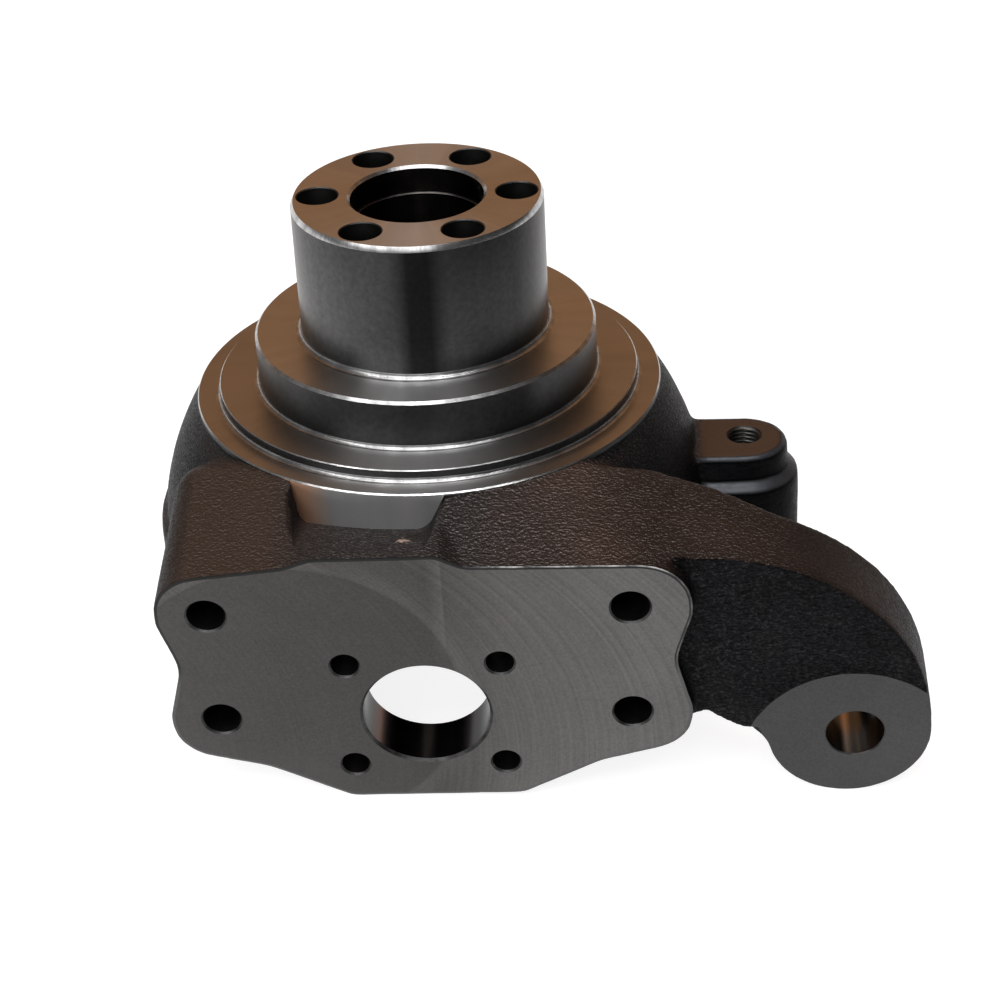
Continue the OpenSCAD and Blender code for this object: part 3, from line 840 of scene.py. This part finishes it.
# The side lug is rounder than the rest of the casting, and the corners at the turned wall stay sharp.
# Both places are in millimetres along the spindle's own axes.
lugZone = dict(left=123, half=32, low=-12, high=heightOf("lug_face") + 1)
wallZone = dict(reach=108, front=-60, low=54, left=-66, right=30)
places = np.empty(len(housing.data.vertices) * 3)
housing.data.vertices.foreach_get("co", places)
px, py, pz = (places.reshape(-1, 3) @ np.array(onSpindle.to_3x3()) / mm).T
onLug = (px > lugZone["left"]) & (np.abs(py) < lugZone["half"])
onLug &= (pz < lugZone["high"]) & (pz > lugZone["low"])
atWall = (np.hypot(px, py) < wallZone["reach"]) & (py < wallZone["front"]) & (pz > wallZone["low"])
atWall &= (px > wallZone["left"]) & (px < wallZone["right"])
for name, mask in (("lug", onLug), ("skin", ~atWall)):
    housing.vertex_groups.new(name=name).add([int(i) for i in np.nonzero(mask)[0]], 1.0, "REPLACE")
for group, turns in (("skin", castSettings["smoothing"]), ("lug", castSettings["lugSmoothing"])):
    soften = housing.modifiers.new("soften", "SMOOTH")
    soften.factor = 0.5
    soften.iterations = turns
    soften.vertex_group = group
sand = bpy.data.textures.new("sand", "CLOUDS")
sand.noise_scale = castSettings["waveSize"] * mm
sand.noise_depth = 2
waves = housing.modifiers.new("waves", "DISPLACE")
waves.texture = sand
waves.texture_coords = "LOCAL"
waves.strength = castSettings["waviness"] * mm
waves.mid_level = 0.5
thin = housing.modifiers.new("thin", "DECIMATE")
thin.ratio = castSettings["keep"]
applyAll(housing)
print("cast skin", len(housing.data.polygons), "faces")

# The trough in front of the ring, cut once more so that its floor and flanks meet in clean lines
trough = dict(left=-51.0, right=4.0, crown=88.5, slope=20.8, leftRound=5.0, rightRound=9.0, leftFlare=4.0,
              rightFlare=11.0, rise=22.0, height=40.0, front=-20.0, back=56.0, deeper=0.2)


def roundCorner(middle, radius, fromDeg, toDeg, steps=8):
    turns = [math.radians(fromDeg + (toDeg - fromDeg) * k / steps) for k in range(steps + 1)]
    return [(middle[0] + radius * math.cos(a), middle[1] + radius * math.sin(a)) for a in turns]


def troughTool(t):
    leftLean = math.degrees(math.atan2(t["rise"], -t["leftFlare"]))
    rightLean = math.degrees(math.atan2(t["rise"], t["rightFlare"]))
    leftReach = t["leftRound"] / math.tan(math.radians(leftLean / 2))
    rightReach = t["rightRound"] / math.tan(math.radians((180 - rightLean) / 2))
    leftTop, rightTop = t["left"] - t["leftFlare"], t["right"] + t["rightFlare"]
    section = roundCorner((t["left"] + leftReach, t["leftRound"]), t["leftRound"], 90 + leftLean, 270)
    section += roundCorner((t["right"] - rightReach, t["rightRound"]), t["rightRound"], -90, rightLean - 90)
    section += [(rightTop, t["rise"]), (rightTop, t["height"]), (leftTop, t["height"]), (leftTop, t["rise"])]
    count = len(section)
    verts = [(x * mm, y * mm, (z - t["deeper"]) * mm) for y in (t["front"], t["back"]) for x, z in section]
    faces = [tuple(range(count)), tuple(range(2 * count - 1, count - 1, -1))]
    faces += [(i, count + i, count + (i + 1) % count, (i + 1) % count) for i in range(count)]
    tip = Matrix.Rotation(math.radians(-t["slope"]), 4, "X")
    front = Matrix.Translation((0, -faceY * mm, t["crown"] * mm))
    return solid("trough", verts, faces, "castSkin", front @ tip)


carve(housing, troughTool(trough))

# The machining of the turned end: cut the casting back, then add the turned solid
airCut = dict(reach=150, core=101, coreLow=72, high=260, under=1)
ringLow = ringZ - airCut["under"]
air = [(airCut["reach"], ringLow), (airCut["core"], ringLow), (airCut["core"], airCut["coreLow"]),
       (0, airCut["coreLow"]), (0, airCut["high"]), (airCut["reach"], airCut["high"])]
carve(housing, lathe("airCut", air, 96, onSpindle, ["castSkin"] * len(air)))

ringR, discR, bellR = turned["ringR"], turned["discR"], turned["bellR"]
chamfer, stepFillet = turned["chamfer"], turned["stepFillet"]
mouthZ, wallR = topZ - turned["mouthLen"], ringR + turned["proud"]
turns = np.linspace(math.acos(turned["lowest"] / bellR), math.asin(boreR / bellR), 9)
inside = [(bellR * math.sin(a), bellR * math.cos(a)) for a in turns]
points = [
    (boreR, inside[-1][1], 0, "boredWall"),
    (boreR, mouthZ, 0, "turnedFace"),
    (mouthR, mouthZ, 0, "boredWall"),
    (mouthR, topZ - chamfer, 0, "brightEdge"),
    (mouthR + chamfer, topZ, 0, "turnedFace"),
    (seatR - chamfer, topZ, 0, "brightEdge"),
    (seatR, topZ - chamfer * 2, 0, "turnedWall"),
    (seatR, landZ, turned["seatFillet"], "turnedFace"),
    (landR - chamfer, landZ, 0, "brightEdge"),
    (landR, landZ - chamfer, 0, "lowWall"),
    (landR, discZ, stepFillet, "lowFace"),
    (discR - chamfer / 3, discZ, 0, "brightEdge"),
    (discR, discZ - chamfer / 3, 0, "lowWall"),
    (discR, ringZ, stepFillet, "lowFace"),
    (ringR - chamfer / 3, ringZ, 0, "brightEdge"),
    (wallR, ringZ - chamfer / 2, 0, "recessWall"),
    (wallR, turned["lowest"], 0, "castSkin"),
] + [(r, z, 0, "castSkin") for r, z in inside[:-1]]
outline, bands = rounded(points)
carve(housing, lathe("turnedEnd", outline, 192, onSpindle, bands), "UNION")

# The milled faces: bracket face, far ear, eye and the spot faces inside the ears
mill = dict(eyeR=45.6, eyeX=182, eyeZ=-33.9, eyeHigh=12, spotR=52, spotY=104.3, slotLow=-95, slotHigh=-1,
            bracketHalf=140, earHalf=90, low=-80, high=120, outer=180)
burrRims = [(0.3, 0.15), (1.1, 0.25)]  # width and height of the outer and the inner rim of each edge
floorY = faceY - sum(height for width, height in burrRims)
carve(housing, millBlock("bracketMill", (-mill["bracketHalf"], -mill["outer"], mill["low"]),
                         (mill["bracketHalf"], -floorY, mill["high"])))
carve(housing, millBlock("earMill", (-mill["earHalf"], floorY, mill["low"]),
                         (mill["earHalf"], mill["outer"], mill["high"])))
eyeMiddle = Vector((mill["eyeX"] * mm, eyeSpot.y, mill["eyeZ"] * mm))
eyeR, eyeHigh = mill["eyeR"], mill["eyeHigh"]
carve(housing, lathe("eyeMill", [(0, 0), (eyeR, 0), (eyeR, eyeHigh), (0, eyeHigh)], 120,
                     alongAxis(eyeMiddle, toFront), ["milledFace"] * 4))
spotY, spotR = mill["spotY"], mill["spotR"]
carve(housing, lathe("spotMill", [(0, -spotY), (spotR, -spotY), (spotR, spotY), (0, spotY)], 96,
                     alongAxis(Vector(), toBack), ["milledFace"] * 4))
carve(housing, millBlock("spotSlot", (-spotR, -spotY, mill["slotLow"]), (spotR, spotY, mill["slotHigh"])))


# insets the milled face on one side and lifts it, so that its outline gets fine rims of burr
def fineEdge(obj, outward, flat=0.999, near=0.02, merge=0.25, gap=0.01, rimFlat=(0.05, 0.99)):
    openMesh(obj, "DESELECT")
    bpy.ops.object.mode_set(mode="OBJECT")
    for p in obj.data.polygons:
        p.select = abs(p.center.dot(outward) / mm - floorY) < near and p.normal.dot(outward) > flat
    bpy.ops.object.mode_set(mode="EDIT")
    bpy.ops.mesh.dissolve_limited(angle_limit=0.001)
    bpy.ops.mesh.remove_doubles(threshold=merge * mm)
    for width, height in burrRims:
        bpy.ops.mesh.inset(thickness=width * mm, depth=height * mm, use_boundary=True,
                           use_even_offset=False)
    bpy.ops.object.mode_set(mode="OBJECT")
    obj.data.materials.append(finishes["burr"])
    found = 0
    for p in obj.data.polygons:
        between = floorY + gap < p.center.dot(outward) / mm < faceY - gap
        if between and rimFlat[0] < p.normal.dot(outward) < rimFlat[1]:
            p.material_index = len(obj.data.materials) - 1
            found += 1
    print("fine edge of", found, "faces")


fineEdge(housing, toFront)
fineEdge(housing, toBack)

# The holes, all cut at once
tools = [holeTool(*hole) for hole in holes]
for outward in (toFront, toBack):
    tools.append(boreTool("bore", outward * faceY * mm, outward, kingpin))
tools.append(boreTool("eyeHole", eyeSpot, toFront, eye))
tools.append(threadTool(lugSpot, spindleAxis, lugHole))
carve(housing, joined("holeTools", tools))

pick(housing)
bpy.ops.object.shade_smooth_by_angle(angle=math.radians(32))
triangles = sum(len(p.vertices) - 2 for p in housing.data.polygons)
print("housing", len(housing.data.polygons), "faces,", triangles, "triangles")

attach(housing, "root")
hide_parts("swivel_housing")

# The floor, on which the part rests on its two feet and its eye
floorLook = dict(size=14.0, height=-0.0502, slopeX=-0.0535, slopeY=-0.0012, white=0.9, glow=0.86, shown=0.35)


def makeFloor(look):
    mat, tree, shader = shaderOf("floorWhite")
    feed(tree, shader.inputs["Base Color"], (look["white"],) * 3)
    shader.inputs["Roughness"].default_value = 1
    shader.inputs["Specular IOR Level"].default_value = 0
    white = tree.nodes.new("ShaderNodeEmission")
    white.inputs["Strength"].default_value = look["glow"]
    # a part of the floor's own light is kept, so that the object's shadow still shows on the white
    ownLight = tree.nodes.new("ShaderNodeBsdfDiffuse")
    feed(tree, ownLight.inputs["Color"], (look["shown"],) * 3)
    shown = tree.nodes.new("ShaderNodeAddShader")
    tree.links.new(white.outputs[0], shown.inputs[0])
    tree.links.new(ownLight.outputs[0], shown.inputs[1])
    rays = tree.nodes.new("ShaderNodeLightPath").outputs
    mirrored = maths(tree, "MAXIMUM", rays["Is Glossy Ray"], rays["Is Transmission Ray"])
    both = tree.nodes.new("ShaderNodeMixShader")
    tree.links.new(maths(tree, "MAXIMUM", rays["Is Camera Ray"], mirrored), both.inputs[0])
    tree.links.new(shader.outputs[0], both.inputs[1])
    tree.links.new(shown.outputs[0], both.inputs[2])
    tree.links.new(both.outputs[0], tree.nodes["Material Output"].inputs["Surface"])
    return mat


bpy.ops.mesh.primitive_plane_add(size=floorLook["size"])
floor = bpy.context.object
floor.name = "floor"
for v in floor.data.vertices:
    v.co.z = floorLook["height"] + floorLook["slopeX"] * v.co.x + floorLook["slopeY"] * v.co.y
floor.data.materials.append(makeFloor(floorLook))

# Light: a soft grey room, darker on the right, with a warm wall behind
roomLook = dict(left=grey(0.17), right=grey(0.05), sideX=(0.5, -0.5), warm=(0.36, 0.19, 0.095),
                warmAt=(0.0, 0.9, 0.43), warmNear=(0.45, 0.85))
world = bpy.data.worlds.new("room")
bpy.context.scene.world = world
world.use_nodes = True
room = world.node_tree
around = room.nodes.new("ShaderNodeTexCoord").outputs["Generated"]
toWarm = vectors(room, "DOT_PRODUCT", around, Vector(roomLook["warmAt"]).normalized())["Value"]
roomSide = ranged(room, apart(room, around)[0], roomLook["sideX"])
roomGrey = mixed(room, roomSide, roomLook["right"], roomLook["left"])
roomColour = mixed(room, ranged(room, toWarm, roomLook["warmNear"]), roomGrey, roomLook["warm"])
feed(room, room.nodes["Background"].inputs["Color"], roomColour)


def lamp(name, at, target, power, width, height):
    data = bpy.data.lights.new(name, "AREA")
    data.shape = "RECTANGLE"
    data.size, data.size_y = width, height
    data.energy = power
    obj = place(name, data)
    obj.location = at
    obj.rotation_euler = (Vector(target) - Vector(at)).to_track_quat("-Z", "Y").to_euler()


lamp("frontLeft", (-1.1, -1.2, 1.3), (0, 0, 0.05), 12, 1.3, 1.3)
lamp("front", (-0.05, -1.6, 1.3), (0, 0, 0.05), 9, 1.2, 1.3)
lamp("overhead", (-0.1, -0.1, 1.7), (0, 0, 0), 16, 1.2, 1.2)
# five window panes in a curved row, each at an angle from the front and with its own power
panes = dict(reach=1.3, height=1.75, width=0.16, tall=0.3, target=(0, 0, 0.1),
             row=[("paneA", -58, 2.5), ("paneB", -30, 3.0), ("paneC", 0, 3.5),
                  ("paneD", 26, 3.0), ("paneE", 48, 2.0)])
for name, angle, power in panes["row"]:
    turn = math.radians(angle)
    at = (panes["reach"] * math.sin(turn), -panes["reach"] * math.cos(turn), panes["height"])
    lamp(name, at, panes["target"], power, panes["width"], panes["tall"])

# The camera, fitted to the photograph; its angles are in degrees
cameraLook = dict(lens=95.43, sensor=36, at=(0.09005, -0.9464, 0.7836), pan=3.687, down=39.06, roll=-3.67)
cameraData = bpy.data.cameras.new("camera")
cameraData.lens = cameraLook["lens"]
cameraData.sensor_width = cameraLook["sensor"]
camera = place("camera", cameraData)
pan = Matrix.Rotation(math.radians(cameraLook["pan"]), 4, "Z")
tilt = Matrix.Rotation(math.radians(90 - cameraLook["down"]), 4, "X")
roll = Matrix.Rotation(math.radians(cameraLook["roll"]), 4, "Z")
camera.matrix_world = Matrix.Translation(cameraLook["at"]) @ pan @ tilt @ roll
bpy.context.scene.camera = camera

bpy.context.scene.view_settings.view_transform = "Standard"

print("scene ready")
